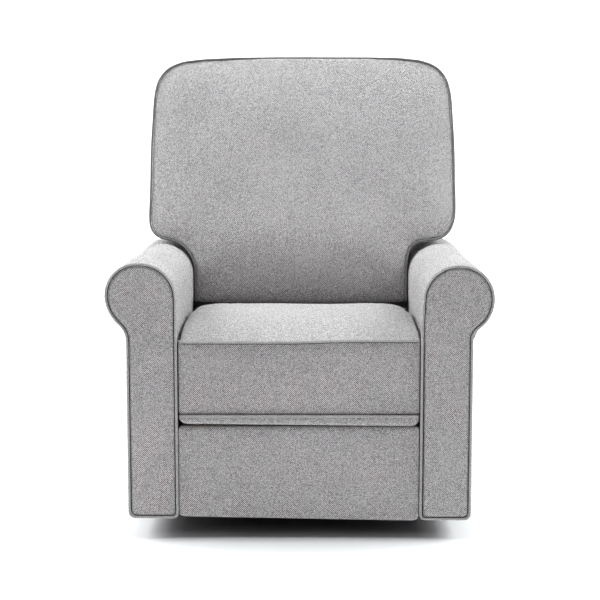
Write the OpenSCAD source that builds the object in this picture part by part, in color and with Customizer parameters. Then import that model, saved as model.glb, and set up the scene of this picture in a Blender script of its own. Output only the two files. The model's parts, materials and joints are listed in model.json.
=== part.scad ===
// Swivel glider recliner with rolled arms, a T-shaped back cushion and a fold-out leg rest.
// Z is up, the sitter faces -Y, and the origin is on the floor below the swivel axis.
// Pivots are written as [y, z] points, because every linkage lies in planes of constant x.

/* [Overall] */
// Width across the two arm rolls
overall_w = 864; // [862:1:872]
// Distance from the swivel axis forward to the face of the arms
front_reach = 444; // [443:1:446]
// Width between the arms
between_arms = 548; // [548:1:552]
// Height of the fabric's lower edge above the floor
fabric_bottom = 52; // [48:1:54]

/* [Arms] */
// Radius of the roll on top of each arm
roll_r = 80; // [78:0.5:81]
// Height of the middle of the roll
roll_z = 544; // [536:1:544]
// Width of an arm below its roll
arm_body_w = 112; // [104:1:114]
// Distance from the swivel axis back to the rear of the arms
arm_rear = 290; // [286:1:292]
// Thickness of the padded panel on the front of each arm
facing_t = 20; // [14:1:22]

/* [Seat and back] */
// Height of the seam along the front top edge of the seat
seat_seam_z = 450; // [444:1:452]
// Height of the top of the back cushion
back_top = 1086; // [1080:1:1092]
// Half width of the back cushion's ears
ear_x = 390; // [384:1:396]
// Lean of the back from upright, in degrees
back_lean = 16; // [15:0.5:16.5]
// Thickness of the back cushion, square to its lean
back_cushion_t = 166; // [150:1:167]

/* [Mechanism] */
// Distance between the pivots of a glide link
glide_link = 160; // [150:1:165]
// Radius of the round steel base
base_r = 285; // [275:1:290]
// Radius of the glide pins
glide_pin_r = 5; // [4:0.1:6]
// Radius of the leg rest pins
leg_pin_r = 4; // [3:0.1:4.5]
// Radial clearance of a pin in the part that turns on it
running_gap = 0.06; // [0.03:0.01:0.1]

/* [Hidden] */
$fn = 48;
inner_x = between_arms / 2;
side_gap = 8;
seat_x = inner_x - side_gap;
panel_x = inner_x - 4;
front_y = -front_reach;
held_gap = 0.03;

// Arm section
roll_x = overall_w / 2 - roll_r;
arm_outer_x = inner_x + arm_body_w;
roll_blend_r = 30;
pad_inset = 3;
board_x = inner_x + 16;
board_t = 18;
board_top = 498;

// Seat frame and cushion heights
rail_z = 258;
rail_h = 22;
rail_w = 30;
rail_x = 262;
front_rail_y = front_y + 30;
rear_rail_y = 120;
spring_t = 3.5;
cushion_z = 288;
cushion_rear = 150;
cushion_crown = 30;
bolt_ys = [-200, 60];
bolt_z = rail_z + 11;

// Release lever, in the gap between the seat and an arm
lever_pivot = [front_y + 114, 269];
lever_x = inner_x - 6.5;
lever_t = 4.5;

// The back frame is drawn upright and then leaned about this point on its front face
back_foot = [172, 300];
frame_t = 28;
frame_h = 757;
shell_s = frame_t + 2;
shell_t = 26;
shell_h = 790;
shell_rim = 18;
tongue_x = 208;
neck_x = inner_x - 8;
back_gap = 1;
recline_pivot = [235, 300];
recline_pin_r = 6;

// Glide linkage, two equal upright links on each side
glide_top_z = 240;
glide_bottom_z = glide_top_z - glide_link;
glide_y = 130;
stand_x = 207;
stand_t = 5;
glide_link_x = 213;
glide_link_t = 6;
plate_x = 220;
plate_t = 4;

// Leg rest linkage in its folded position
link_t = 4;
drive_x = 202;
long_x = 208;
control_x = 214;
tie_x = 196;
leg_end_r = 9;
control_end_r = 11;
open_pivot_gap = 3.2;
drive_pivot = [front_y + 110, 231];
drive_len = 135;
drive_tail = 30;
drive_angle = -92;
long_len = 160;
long_tail = 28;
long_angle = 70;
control_pivot = drive_pivot + [14.8, -28.6];
elbow = drive_pivot + drive_len * forward(drive_angle);
tie_foot = elbow + drive_tail * forward(drive_angle);
rest_hinge = elbow + long_len * forward(long_angle);
tie_head = tie_foot + long_len * forward(long_angle);
tail_pin = elbow - long_tail * forward(long_angle);
footrest_face = front_y + 6;
footrest_pad_t = 26;
footrest_board_t = 12;
footrest_top = 257;

// Swivel bearing
hub_z = 30;
race_z = 34;
ball_z = 41;
ball_r = 5;
ball_ring_r = 55;
ball_count = 16;
swivel_z = 48;
post_r = 12.5;
post_top = 61;
stud_r = 8;

WOOD = "burlywood";
STEEL = "dimgray";
BRIGHT = "silver";
FABRIC = [0.74, 0.72, 0.71];
SEAT_FABRIC = [0.78, 0.76, 0.75];

// Unit vector that points forward at an angle above the horizontal
function forward(a) = [-cos(a), sin(a)];

// Points along an arc from angle a0 to angle a1
function arc(centre, r, a0, a1, n = 10) =
    [for (i = [0:n]) centre + r * [cos(a0 + (a1 - a0) * i / n), sin(a0 + (a1 - a0) * i / n)]];

// Outline of a wavy wire of width w: half a wave is pitch long and swings by the amplitude
function wave(amplitude, pitch, halves, side, w) =
    [for (i = [0:halves * 6]) let (a = i * 30)
        [i * pitch / 6 - side * w / 2 * cos(a) * 0.7, amplitude * sin(a) + side * w / 2]];

// A plate in a YZ plane, from x to x + t, whose outline is drawn as [y, z]
module yz_plate(x, t) {
    translate([x, 0, 0]) rotate([90, 0, 90]) linear_extrude(t) children();
}

// A panel in an XZ plane, from y to y + t, whose outline is drawn as [x, z]
module xz_panel(y, t) {
    translate([0, y + t, 0]) rotate([90, 0, 0]) linear_extrude(t) children();
}

// A rod along X from x0 to x1 through p = [y, z]
module x_rod(r, x0, x1, p) {
    translate([x0, p.x, p.y]) rotate([0, 90, 0]) cylinder(h = x1 - x0, r = r);
}

// The same shape on both sides of the chair
module both_sides() {
    children();
    mirror([1, 0, 0]) children();
}

// A pin with a head outside x1, reaching in to x0
module headed_pin(r, head_r, x0, x1, p, head_t = 4) {
    x_rod(r, x0, x1, p);
    x_rod(head_r, x1, x1 + head_t, p);
}

// A flat round-ended link from a to b, with holes for pins at the given points
module link(x, t, a, b, holes, end_r, hole_r) {
    lean = atan2(b.y - a.y, b.x - a.x);
    difference() {
        yz_plate(x, t) polygon(concat(arc(b, end_r, lean - 90, lean + 90, 12),
            arc(a, end_r, lean + 90, lean + 270, 12)));
        for (p = holes) x_rod(hole_r, x - 1, x + t + 1, p);
    }
}

// Moves a shape drawn against an upright back, foot at the origin, to the leaning back
module leaned() {
    translate([0, back_foot.x, back_foot.y]) rotate([-back_lean, 0, 0]) children();
}

module ring_tube(r) {
    translate([0, 0, 17.5]) rotate_extrude() translate([base_r, 0]) circle(r);
}

// ---- Base, which stands on the floor ----

module base_ring() {
    color(STEEL) ring_tube(12.5);
}

module floor_pads() {
    color("black") difference() {
        for (a = [22.5:45:360]) rotate([0, 0, a]) translate([base_r, 0, 0])
            cylinder(h = 12, r = 13);
        ring_tube(12.55);
    }
}

module crossbar_long() {
    color(STEEL) difference() {
        translate([-base_r, -20, 14]) cube([2 * base_r, 40, 16]);
        translate([-20, -21, 22]) cube([40, 42, 9]);
        ring_tube(12.55);
    }
}

module crossbar_short() {
    color(STEEL) difference() {
        translate([-20, -base_r, 14]) cube([40, 2 * base_r, 16]);
        translate([-21, -20, 13]) cube([42, 40, 9]);
        ring_tube(12.55);
    }
}

module hub_plate() {
    color(STEEL) translate([0, 0, hub_z]) cylinder(h = race_z - hub_z, r = 78);
}

module pivot_post() {
    color(BRIGHT) {
        translate([0, 0, race_z]) cylinder(h = post_top - race_z, r = post_r);
        translate([0, 0, post_top]) cylinder(h = 17, r = stud_r);
    }
}

module race(z, h) {
    color(BRIGHT) difference() {
        translate([0, 0, z]) cylinder(h = h, r = 66);
        translate([0, 0, z - 1]) cylinder(h = h + 2, r = 44);
        translate([0, 0, ball_z]) rotate_extrude() translate([ball_ring_r, 0]) circle(ball_r + 0.1);
    }
}

module lower_race() {
    race(race_z, 5.5);
}

module bearing_balls() {
    color(BRIGHT) for (i = [0:ball_count - 1]) rotate([0, 0, i * 360 / ball_count])
        translate([ball_ring_r, 0, ball_z]) sphere(ball_r);
}

module spindle_washer() {
    color(BRIGHT) translate([0, 0, post_top]) difference() {
        cylinder(h = 3, r = 20);
        translate([0, 0, -1]) cylinder(h = 5, r = stud_r + held_gap);
    }
}

module spindle_nut() {
    color(BRIGHT) translate([0, 0, post_top + 3]) difference() {
        cylinder(h = 11, r = 14, $fn = 6);
        translate([0, 0, -1]) cylinder(h = 13, r = stud_r + held_gap);
    }
}

// ---- Swivel frame, which turns on the base ----

module upper_race() {
    race(swivel_z - 5.5, 5.5);
}

module swivel_plate() {
    color(STEEL) difference() {
        translate([-110, -110, swivel_z]) cube([220, 220, 4]);
        translate([0, 0, swivel_z - 1]) cylinder(h = 6, r = 18 + held_gap);
    }
}

module pivot_bushing() {
    color("goldenrod") difference() {
        translate([0, 0, swivel_z]) cylinder(h = 12.5, r = 18);
        translate([0, 0, swivel_z - 1]) cylinder(h = 15, r = post_r + running_gap);
    }
}

module cross_tube(y) {
    color(STEEL) difference() {
        translate([-stand_x, y - 15, swivel_z + 4]) cube([2 * stand_x, 30, 20]);
        translate([-stand_x - 1, y - 13, swivel_z + 6]) cube([2 * stand_x + 2, 26, 16]);
    }
}

module cross_tube_front() {
    cross_tube(-90);
}

module cross_tube_rear() {
    cross_tube(90);
}

module glide_stand() {
    color(STEEL) difference() {
        union() {
            yz_plate(stand_x, stand_t)
                polygon([[-125, swivel_z + 4], [125, swivel_z + 4],
                    [glide_y + 12, glide_top_z], [-glide_y - 12, glide_top_z]]);
            for (y = [-glide_y, glide_y])
                x_rod(13.5, stand_x, stand_x + stand_t, [y, glide_top_z]);
        }
        for (y = [-glide_y, glide_y])
            x_rod(glide_pin_r + held_gap, stand_x - 1, stand_x + stand_t + 1, [y, glide_top_z]);
    }
}

module glide_stand_left() {
    mirror([1, 0, 0]) glide_stand();
}

module glide_stand_right() {
    glide_stand();
}

module glide_top_pins() {
    color(BRIGHT) both_sides() for (y = [-glide_y, glide_y]) {
        x_rod(9, stand_x - 4, stand_x, [y, glide_top_z]);
        x_rod(glide_pin_r, stand_x, glide_link_x + glide_link_t + 0.4, [y, glide_top_z]);
    }
}

// ---- Glide links ----

module glide_links(y) {
    pivots = [[y, glide_top_z], [y, glide_bottom_z]];
    color(STEEL) both_sides()
        link(glide_link_x, glide_link_t, pivots[0], pivots[1], pivots, 13,
            glide_pin_r + running_gap);
}

module glide_front_links() {
    glide_links(-glide_y);
}

module glide_rear_links() {
    glide_links(glide_y);
}

// ---- Chair body, which glides ----

module mechanism_plate() {
    color(STEEL) difference() {
        union() {
            yz_plate(plate_x, plate_t)
                polygon([[front_y + 92, 190], [-165, 62], [165, 62], [255, 190], [255, 300],
                    [215, 300], [200, rail_z], [front_y + 92, rail_z]]);
            x_rod(19, plate_x, plate_x + plate_t, recline_pivot);
            translate([plate_x + plate_t, front_y + 92, rail_z - 4]) cube([38, 510, 4]);
        }
        for (y = [-glide_y, glide_y])
            x_rod(glide_pin_r + held_gap, plate_x - 1, plate_x + plate_t + 1, [y, glide_bottom_z]);
        for (p = [drive_pivot, control_pivot])
            x_rod(leg_pin_r + held_gap, plate_x - 1, plate_x + plate_t + 1, p);
        x_rod(recline_pin_r + held_gap, plate_x - 1, plate_x + plate_t + 1, recline_pivot);
    }
}

module mechanism_plate_left() {
    mirror([1, 0, 0]) mechanism_plate();
}

module mechanism_plate_right() {
    mechanism_plate();
}

module glide_bottom_pins() {
    color(BRIGHT) both_sides() for (y = [-glide_y, glide_y])
        headed_pin(glide_pin_r, 9, glide_link_x - 0.4, plate_x + plate_t, [y, glide_bottom_z]);
}

module mechanism_rivets() {
    color(BRIGHT) both_sides() {
        headed_pin(leg_pin_r, 7, drive_x + 0.2, plate_x + plate_t, drive_pivot);
        headed_pin(leg_pin_r, 7, control_x - 0.4, plate_x + plate_t, control_pivot);
    }
}

module recline_pins() {
    color(BRIGHT) both_sides() {
        x_rod(10, plate_x - 4, plate_x, recline_pivot);
        x_rod(recline_pin_r, plate_x, plate_x + 10.2, recline_pivot);
    }
}

module seat_front_rail() {
    color(WOOD) translate([-rail_x, front_rail_y, rail_z]) cube([2 * rail_x, 28, rail_h]);
}

module seat_rear_rail() {
    color(WOOD) translate([-rail_x, rear_rail_y, rail_z]) cube([2 * rail_x, rail_w, rail_h]);
}

module seat_side_rails() {
    color(WOOD) both_sides() difference() {
        translate([rail_x - rail_w, front_rail_y + 28, rail_z])
            cube([rail_w, rear_rail_y - front_rail_y - 28, rail_h]);
        for (y = bolt_ys) x_rod(4 + held_gap, rail_x - rail_w - 1, rail_x + 1, [y, bolt_z]);
    }
}

// A flat wavy spring along Y on top of the rails
module seat_springs() {
    color(STEEL) for (x = [-170:85:170]) translate([x, front_rail_y + 6, rail_z + rail_h])
        rotate([0, 0, 90]) linear_extrude(spring_t)
            polygon(concat(wave(24, 44, 12, 1, 4),
                [for (i = [72:-1:0]) wave(24, 44, 12, -1, 4)[i]]));
}

module seat_deck_pad() {
    color("gray") translate([-rail_x, front_rail_y + 2, rail_z + rail_h + spring_t + 0.2])
        cube([2 * rail_x, rear_rail_y + rail_w - front_rail_y - 4, 4]);
}

// Side view of the seat cushion: a boxed front edge and a crowned top that dips under the back
function seat_profile() = let (y0 = front_y + 6, top = seat_seam_z)
    concat(
        [[y0 + 14, cushion_z], [y0 + 3, cushion_z + 12], [y0, cushion_z + 60], [y0, top - 22]],
        arc([y0 + 18, top - 18], 18, 180, 100, 4),
        [for (i = [1:8]) let (u = i / 9)
            [y0 + 18 + (46 - y0 - 18) * u, top + cushion_crown * sin(155 * u)]],
        [[46, top + 11], [60, top + 6], [cushion_rear, top - 4], [cushion_rear, cushion_z]]);

module seat_cushion() {
    color(SEAT_FABRIC) yz_plate(-seat_x, 2 * seat_x) polygon(seat_profile());
}

module seat_front_band() {
    color(FABRIC) xz_panel(front_y + 8, 22) polygon(concat(
        arc([-panel_x + 10, 270], 8, 270, 180, 4), [[-panel_x + 2, 286.5], [panel_x - 2, 286.5]],
        arc([panel_x - 10, 270], 8, 0, -90, 4)));
}

// Front view of an arm on the right: straight body, hollow blend and roll, all inset by d
function arm_profile(d) =
    let (r = roll_r - d, outer = arm_outer_x - d, bottom = fabric_bottom + d,
        blend = roll_blend_r + d, dx = outer + blend - roll_x,
        dz = sqrt((r + blend) * (r + blend) - dx * dx), a = atan2(dz, -dx))
    concat(
        arc([inner_x + 8, bottom + 8], 8, 180, 270, 4),
        arc([outer - 12, bottom + 12], 12, 270, 360, 5),
        arc([outer + blend, roll_z - dz], blend, 180, a, 6),
        arc([roll_x, roll_z], r, a - 180, 180 - 4, 40),
        [[inner_x, roll_z - 10]]);

module arm_pad() {
    color(FABRIC) difference() {
        xz_panel(front_y + facing_t, arm_rear - front_y - facing_t) polygon(arm_profile(pad_inset));
        translate([board_x, front_y + facing_t + 10, 0])
            cube([board_t, arm_rear - front_y - facing_t - 20, board_top]);
        for (y = bolt_ys) x_rod(6, inner_x - 1, board_x + 1, [y, bolt_z]);
    }
}

module arm_pad_left() {
    mirror([1, 0, 0]) arm_pad();
}

module arm_pad_right() {
    arm_pad();
}

module arm_facing() {
    color(FABRIC) xz_panel(front_y, facing_t) polygon(arm_profile(0));
}

module arm_facing_left() {
    mirror([1, 0, 0]) arm_facing();
}

module arm_facing_right() {
    arm_facing();
}

module arm_frame() {
    color(WOOD) difference() {
        translate([board_x, front_y + facing_t + 10, fabric_bottom + 4])
            cube([board_t, arm_rear - front_y - facing_t - 20, board_top - fabric_bottom - 4]);
        for (y = bolt_ys) x_rod(4 + held_gap, board_x - 1, board_x + 15, [y, bolt_z]);
    }
}

module arm_frame_left() {
    mirror([1, 0, 0]) arm_frame();
}

module arm_frame_right() {
    arm_frame();
}

module arm_bolts() {
    color(BRIGHT) both_sides() for (y = bolt_ys) {
        x_rod(4, rail_x - rail_w, board_x + 14, [y, bolt_z]);
        translate([rail_x - rail_w - 5, y, bolt_z]) rotate([0, 90, 0]) cylinder(h = 5, r = 7, $fn = 6);
    }
}

module rear_rail() {
    color(WOOD) translate([-inner_x + 0.5, 246, 64]) cube([2 * inner_x - 1, 23.5, 50]);
}

// The fixed lower back. Its top edge slopes in under the reclining back.
module rear_panel() {
    color(FABRIC) yz_plate(-panel_x, 2 * panel_x) polygon([[arm_rear - 20, fabric_bottom],
        [arm_rear - 2, fabric_bottom], [arm_rear - 2, 334], [arm_rear - 6, 334],
        [arm_rear - 28, 312], [arm_rear - 28, 300], [arm_rear - 20, 290]]);
}

// ---- Release lever, in the gap between the seat and the arm on the sitter's right ----

module release_lever() {
    color("black") mirror([1, 0, 0]) difference() {
        union() {
            x_rod(11, lever_x, lever_x + lever_t, lever_pivot);
            yz_plate(lever_x, lever_t) polygon(concat(
                [[lever_pivot.x + 8, lever_pivot.y + 4], [lever_pivot.x - 10, lever_pivot.y]],
                [[front_y + 40, 420]],
                arc([front_y + 40, 442], 14, 200, 20, 10),
                [[front_y + 66, 420]]));
        }
        x_rod(leg_pin_r + running_gap, lever_x - 1, lever_x + lever_t + 1, lever_pivot);
    }
}

module release_pin() {
    color(BRIGHT) mirror([1, 0, 0]) x_rod(leg_pin_r, rail_x, lever_x + lever_t + 0.4, lever_pivot);
}

// ---- Back, which reclines ----

module back_stile() {
    color(WOOD) leaned() translate([230, 0, -20]) cube([30, frame_t, frame_h + 20]);
}

module back_stile_left() {
    mirror([1, 0, 0]) back_stile();
}

module back_stile_right() {
    back_stile();
}

// A rail between the stiles, h high, with its lower edge at height t along the back
module back_rail(t, h) {
    color(WOOD) leaned() translate([-230, 0, t]) cube([460, frame_t, h]);
}

module back_top_rail() {
    back_rail(frame_h - 45, 45);
}

module back_lumbar_rail() {
    back_rail(385, 40);
}

module back_bottom_rail() {
    back_rail(170, 45);
}

module back_springs() {
    color(STEEL) leaned() for (t = [255, 330, 480, 555, 630]) translate([-228.5, 10, t])
        rotate([90, 0, 0]) linear_extrude(spring_t)
            polygon(concat(wave(22, 45.7, 10, 1, 4),
                [for (i = [60:-1:0]) wave(22, 45.7, 10, -1, 4)[i]]));
}

module recline_brackets() {
    color(STEEL) both_sides() difference() {
        union() {
            yz_plate(226, 4) polygon([[170, 288], [236, 285], [249, 303],
                [211, 338], [224, 388], [197, 386]]);
            x_rod(16, 226, 230, recline_pivot);
        }
        x_rod(recline_pin_r + running_gap, 225, 231, recline_pivot);
    }
}

// Front view of the T-shaped back: a body between the arms, ears over them, a crowned top.
// side is the line up the body on the right, and d insets the ears and the top.
function back_outline(side, ear_z, top, d) =
    let (w = ear_x - d, drop = 16, corner = 46)
    let (half = concat(
        side,
        arc([w - 22, ear_z + 22], 22, 270, 360, 4),
        [[w, ear_z + 240]],
        arc([w - 8 - corner, top - drop - corner], corner, 0, 80, 6)))
    concat(half, [[150, top - 3], [0, top], [-150, top - 3]],
        [for (i = [len(half) - 1:-1:0]) [-half[i].x, half[i].y]]);

// Side view of the back cushion, leaning, with a rounded top
function front_of_back(z) = back_foot.x + (z - back_foot.y) * tan(back_lean)
    - back_gap - back_cushion_t / cos(back_lean);
// How far the lower back cushion swells forward of its straight front, at height z
function lumbar(z) = let (u = (z - seat_seam_z - 8) / 460)
    u < 0.3 ? 28 * sin(300 * u) : 28 * pow(max(0, 1 - (u - 0.3) / 0.7), 1.6);
function back_profile() = let (r = 78, z1 = back_top - r, thick = back_cushion_t / cos(back_lean))
    concat(
        [[front_of_back(seat_seam_z) + 32, seat_seam_z + 12]],
        [for (z = [seat_seam_z + 24:24:920])
            [front_of_back(z) - lumbar(z), z]],
        arc([front_of_back(z1) + r, z1], r, 180, 60, 10),
        [[front_of_back(back_top - 50) + thick - 6, back_top - 44]],
        [[front_of_back(back_top - 60) + thick, back_top - 60]],
        [[front_of_back(seat_seam_z + 12) + thick, seat_seam_z + 12]]);

module back_cushion() {
    color(SEAT_FABRIC) intersection() {
        yz_plate(-ear_x - 10, 2 * ear_x + 20) polygon(back_profile());
        xz_panel(-100, 600) polygon(back_outline(concat([[neck_x, seat_seam_z]],
            arc([roll_x, roll_z], roll_r + 8, 162, 104, 6)), 630, back_top, 0));
    }
}

// The outside back: a padded tray whose rim closes the sides behind the ears
module back_shell() {
    color(FABRIC) leaned() difference() {
        union() {
            xz_panel(shell_s, shell_t) polygon(back_outline([[neck_x, 50], [neck_x, 350]],
                350, shell_h, 8));
            xz_panel(0, shell_s) polygon(back_outline([[neck_x, 350], [neck_x, 352]],
                352, shell_h - 6, 8));
            translate([-tongue_x, shell_s, 8]) cube([2 * tongue_x, shell_t, 60]);
        }
        xz_panel(-1, shell_s + 1) polygon(back_outline([[neck_x, 300],
            [neck_x, 352 + shell_rim]], 352 + shell_rim, shell_h - shell_rim, 8 + shell_rim));
        translate([-inner_x, -1, 300]) cube([2 * inner_x, shell_s + 1, 100]);
    }
}

// ---- Leg rest ----

module legrest_drive_links() {
    color(STEEL) both_sides() {
        link(drive_x, link_t, drive_pivot, tie_foot, [drive_pivot], leg_end_r,
            leg_pin_r + running_gap);
        x_rod(leg_pin_r, drive_x + link_t, long_x + link_t + 0.4, elbow);
        x_rod(leg_pin_r, tie_x - 0.4, drive_x, tie_foot);
    }
}

module legrest_torque_tube() {
    color(STEEL) difference() {
        x_rod(11, -drive_x, drive_x, drive_pivot);
        x_rod(9, -drive_x - 1, drive_x + 1, drive_pivot);
    }
}

module legrest_control_links() {
    color(STEEL) both_sides() difference() {
        link(control_x, link_t, control_pivot, tail_pin, [control_pivot], control_end_r,
            leg_pin_r + running_gap);
        x_rod(leg_pin_r + open_pivot_gap, control_x - 1, control_x + link_t + 1, tail_pin);
    }
}

// The pin on each tail moves in a wide hole of the control link, which is the open pivot
module legrest_long_links() {
    color(STEEL) both_sides() {
        link(long_x, link_t, tail_pin, rest_hinge, [elbow], leg_end_r, leg_pin_r + running_gap);
        x_rod(leg_pin_r, drive_x - 0.4, long_x, rest_hinge);
        x_rod(leg_pin_r, long_x + link_t, control_x + link_t + 0.4, tail_pin);
    }
}

module legrest_tie_links() {
    color(STEEL) both_sides()
        link(tie_x, link_t, tie_foot, tie_head, [tie_foot, tie_head], leg_end_r,
            leg_pin_r + running_gap);
}

module footrest_brackets() {
    board_back = footrest_face + footrest_pad_t + footrest_board_t;
    color(STEEL) both_sides() {
        difference() {
            union() {
                yz_plate(drive_x, link_t) polygon([[board_back, 196], [rest_hinge.x + 5, 208],
                    [rest_hinge.x + 5, rest_hinge.y + 5], [board_back, 244]]);
                x_rod(leg_end_r, drive_x, drive_x + link_t, rest_hinge);
                x_rod(leg_end_r, drive_x, drive_x + link_t, tie_head);
                translate([drive_x - 24, board_back, 196]) cube([24, 3, 48]);
            }
            x_rod(leg_pin_r + running_gap, drive_x - 1, drive_x + link_t + 1, rest_hinge);
        }
        x_rod(leg_pin_r, tie_x - 0.4, drive_x, tie_head);
    }
}

module footrest_board() {
    color(WOOD) translate([-panel_x + 14, footrest_face + footrest_pad_t, fabric_bottom + 14])
        cube([2 * panel_x - 28, footrest_board_t, 178]);
}

module footrest_pad() {
    color(FABRIC) xz_panel(footrest_face, footrest_pad_t) polygon(concat(
        arc([-panel_x + 14, fabric_bottom + 14], 14, 180, 270, 5),
        arc([panel_x - 14, fabric_bottom + 14], 14, 270, 360, 5),
        arc([panel_x - 6, footrest_top - 6], 6, 0, 90, 3),
        arc([-panel_x + 6, footrest_top - 6], 6, 90, 180, 3)));
}

base_ring();
floor_pads();
crossbar_long();
crossbar_short();
hub_plate();
pivot_post();
lower_race();
bearing_balls();
spindle_washer();
spindle_nut();
upper_race();
swivel_plate();
pivot_bushing();
cross_tube_front();
cross_tube_rear();
glide_stand_left();
glide_stand_right();
glide_top_pins();
glide_front_links();
glide_rear_links();
mechanism_plate_left();
mechanism_plate_right();
glide_bottom_pins();
mechanism_rivets();
recline_pins();
seat_front_rail();
seat_rear_rail();
seat_side_rails();
seat_springs();
seat_deck_pad();
seat_cushion();
seat_front_band();
arm_frame_left();
arm_frame_right();
arm_pad_left();
arm_pad_right();
arm_facing_left();
arm_facing_right();
arm_bolts();
rear_rail();
rear_panel();
release_lever();
release_pin();
back_stile_left();
back_stile_right();
back_top_rail();
back_lumbar_rail();
back_bottom_rail();
back_springs();
recline_brackets();
back_cushion();
back_shell();
legrest_drive_links();
legrest_torque_tube();
legrest_control_links();
legrest_long_links();
legrest_tie_links();
footrest_brackets();
footrest_board();
footrest_pad();
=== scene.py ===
import json
import math

import bmesh
import bpy
import numpy as np
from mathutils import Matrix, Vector, noise
from mathutils.bvhtree import BVHTree


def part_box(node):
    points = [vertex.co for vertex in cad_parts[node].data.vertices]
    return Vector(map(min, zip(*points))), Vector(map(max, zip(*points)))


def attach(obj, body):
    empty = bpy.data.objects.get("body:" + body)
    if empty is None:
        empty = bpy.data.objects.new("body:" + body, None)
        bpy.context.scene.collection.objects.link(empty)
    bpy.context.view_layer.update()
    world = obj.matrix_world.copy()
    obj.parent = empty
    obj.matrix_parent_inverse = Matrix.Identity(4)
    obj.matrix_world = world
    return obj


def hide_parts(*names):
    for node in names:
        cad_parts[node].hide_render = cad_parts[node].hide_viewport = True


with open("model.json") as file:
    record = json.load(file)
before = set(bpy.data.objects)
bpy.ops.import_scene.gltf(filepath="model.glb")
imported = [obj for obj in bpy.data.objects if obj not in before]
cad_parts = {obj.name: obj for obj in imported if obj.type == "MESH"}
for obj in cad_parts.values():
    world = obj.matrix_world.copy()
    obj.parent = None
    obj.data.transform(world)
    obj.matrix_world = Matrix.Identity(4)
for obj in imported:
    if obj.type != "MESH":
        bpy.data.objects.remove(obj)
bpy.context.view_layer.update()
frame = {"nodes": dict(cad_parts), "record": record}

# ---- Places, all taken from the CAD nodes ----

FACING_LOW, FACING_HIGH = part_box("arm_facing_right")
PAD_LOW, PAD_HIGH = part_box("arm_pad_right")
SEAT_LOW, SEAT_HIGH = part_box("seat_cushion")
BAND_LOW, BAND_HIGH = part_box("seat_front_band")
REST_LOW, REST_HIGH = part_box("footrest_pad")
BACK_LOW, BACK_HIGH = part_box("back_cushion")
REAR_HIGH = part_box("rear_panel")[1]

INNER_X = FACING_LOW.x                  # inner face of an arm
FRONT_Y = FACING_LOW.y                  # face of the arm fronts
ROLL_R = 0.080                          # radius of the arm roll
ROLL_X = FACING_HIGH.x - ROLL_R
ROLL_Z = FACING_HIGH.z - ROLL_R
ARM_OUTER_X = INNER_X + 0.1136          # outer face of an arm below its roll
HEM_Z = FACING_LOW.z                    # lower edge of the upholstery
WELT_R = 0.0032                         # radius of a welt
CORD_STEP = 0.006                       # distance between the rings of a welt

# ---- Small helpers ----


def collection_add(obj):
    bpy.context.scene.collection.objects.link(obj)
    return obj


def mesh_object(name, verts, faces, material, smooth=True):
    """A new mesh object from points and faces, with outward normals."""
    mesh = bpy.data.meshes.new(name)
    mesh.from_pydata([tuple(v) for v in verts], [], [tuple(f) for f in faces])
    mesh.materials.append(material)
    bm = bmesh.new()
    bm.from_mesh(mesh)
    bmesh.ops.remove_doubles(bm, verts=bm.verts, dist=1e-6)
    bmesh.ops.recalc_face_normals(bm, faces=bm.faces)
    for f in bm.faces:
        f.smooth = smooth
    bm.to_mesh(mesh)
    bm.free()
    return collection_add(bpy.data.objects.new(name, mesh))


def apply_modifiers(obj):
    """Bakes obj's modifiers into its mesh."""
    depsgraph = bpy.context.evaluated_depsgraph_get()
    mesh = bpy.data.meshes.new_from_object(obj.evaluated_get(depsgraph), depsgraph=depsgraph)
    obj.modifiers.clear()
    old = obj.data
    obj.data = mesh
    bpy.data.meshes.remove(old)
    return obj


def points_of(obj):
    """The points of obj's mesh as rows of x, y, z."""
    co = np.empty(len(obj.data.vertices) * 3)
    obj.data.vertices.foreach_get("co", co)
    return co.reshape(-1, 3)


def set_points(obj, co):
    obj.data.vertices.foreach_set("co", co.astype(np.float32).ravel())
    obj.data.update()


def smooth_shade(obj):
    obj.data.polygons.foreach_set("use_smooth", [True] * len(obj.data.polygons))


def arc(centre, r, a0, a1, n=8):
    """Points on an arc between two angles in degrees."""
    return [(centre[0] + r * math.cos(math.radians(a0 + (a1 - a0) * i / n)),
             centre[1] + r * math.sin(math.radians(a0 + (a1 - a0) * i / n))) for i in range(n + 1)]


def even_spacing(points, step, closed=True):
    """The same line, resampled at equal steps. Works in two or three dimensions."""
    p = np.array(points + points[:1] if closed else points, float)
    lengths = np.linalg.norm(np.diff(p, axis=0), axis=1)
    s = np.concatenate([[0], np.cumsum(lengths)])
    n = max(3, int(round(s[-1] / step)))
    at = np.linspace(0, s[-1], n + 1)
    if closed:
        at = at[:-1]
    return np.stack([np.interp(at, s, p[:, k]) for k in range(p.shape[1])], 1)


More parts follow.
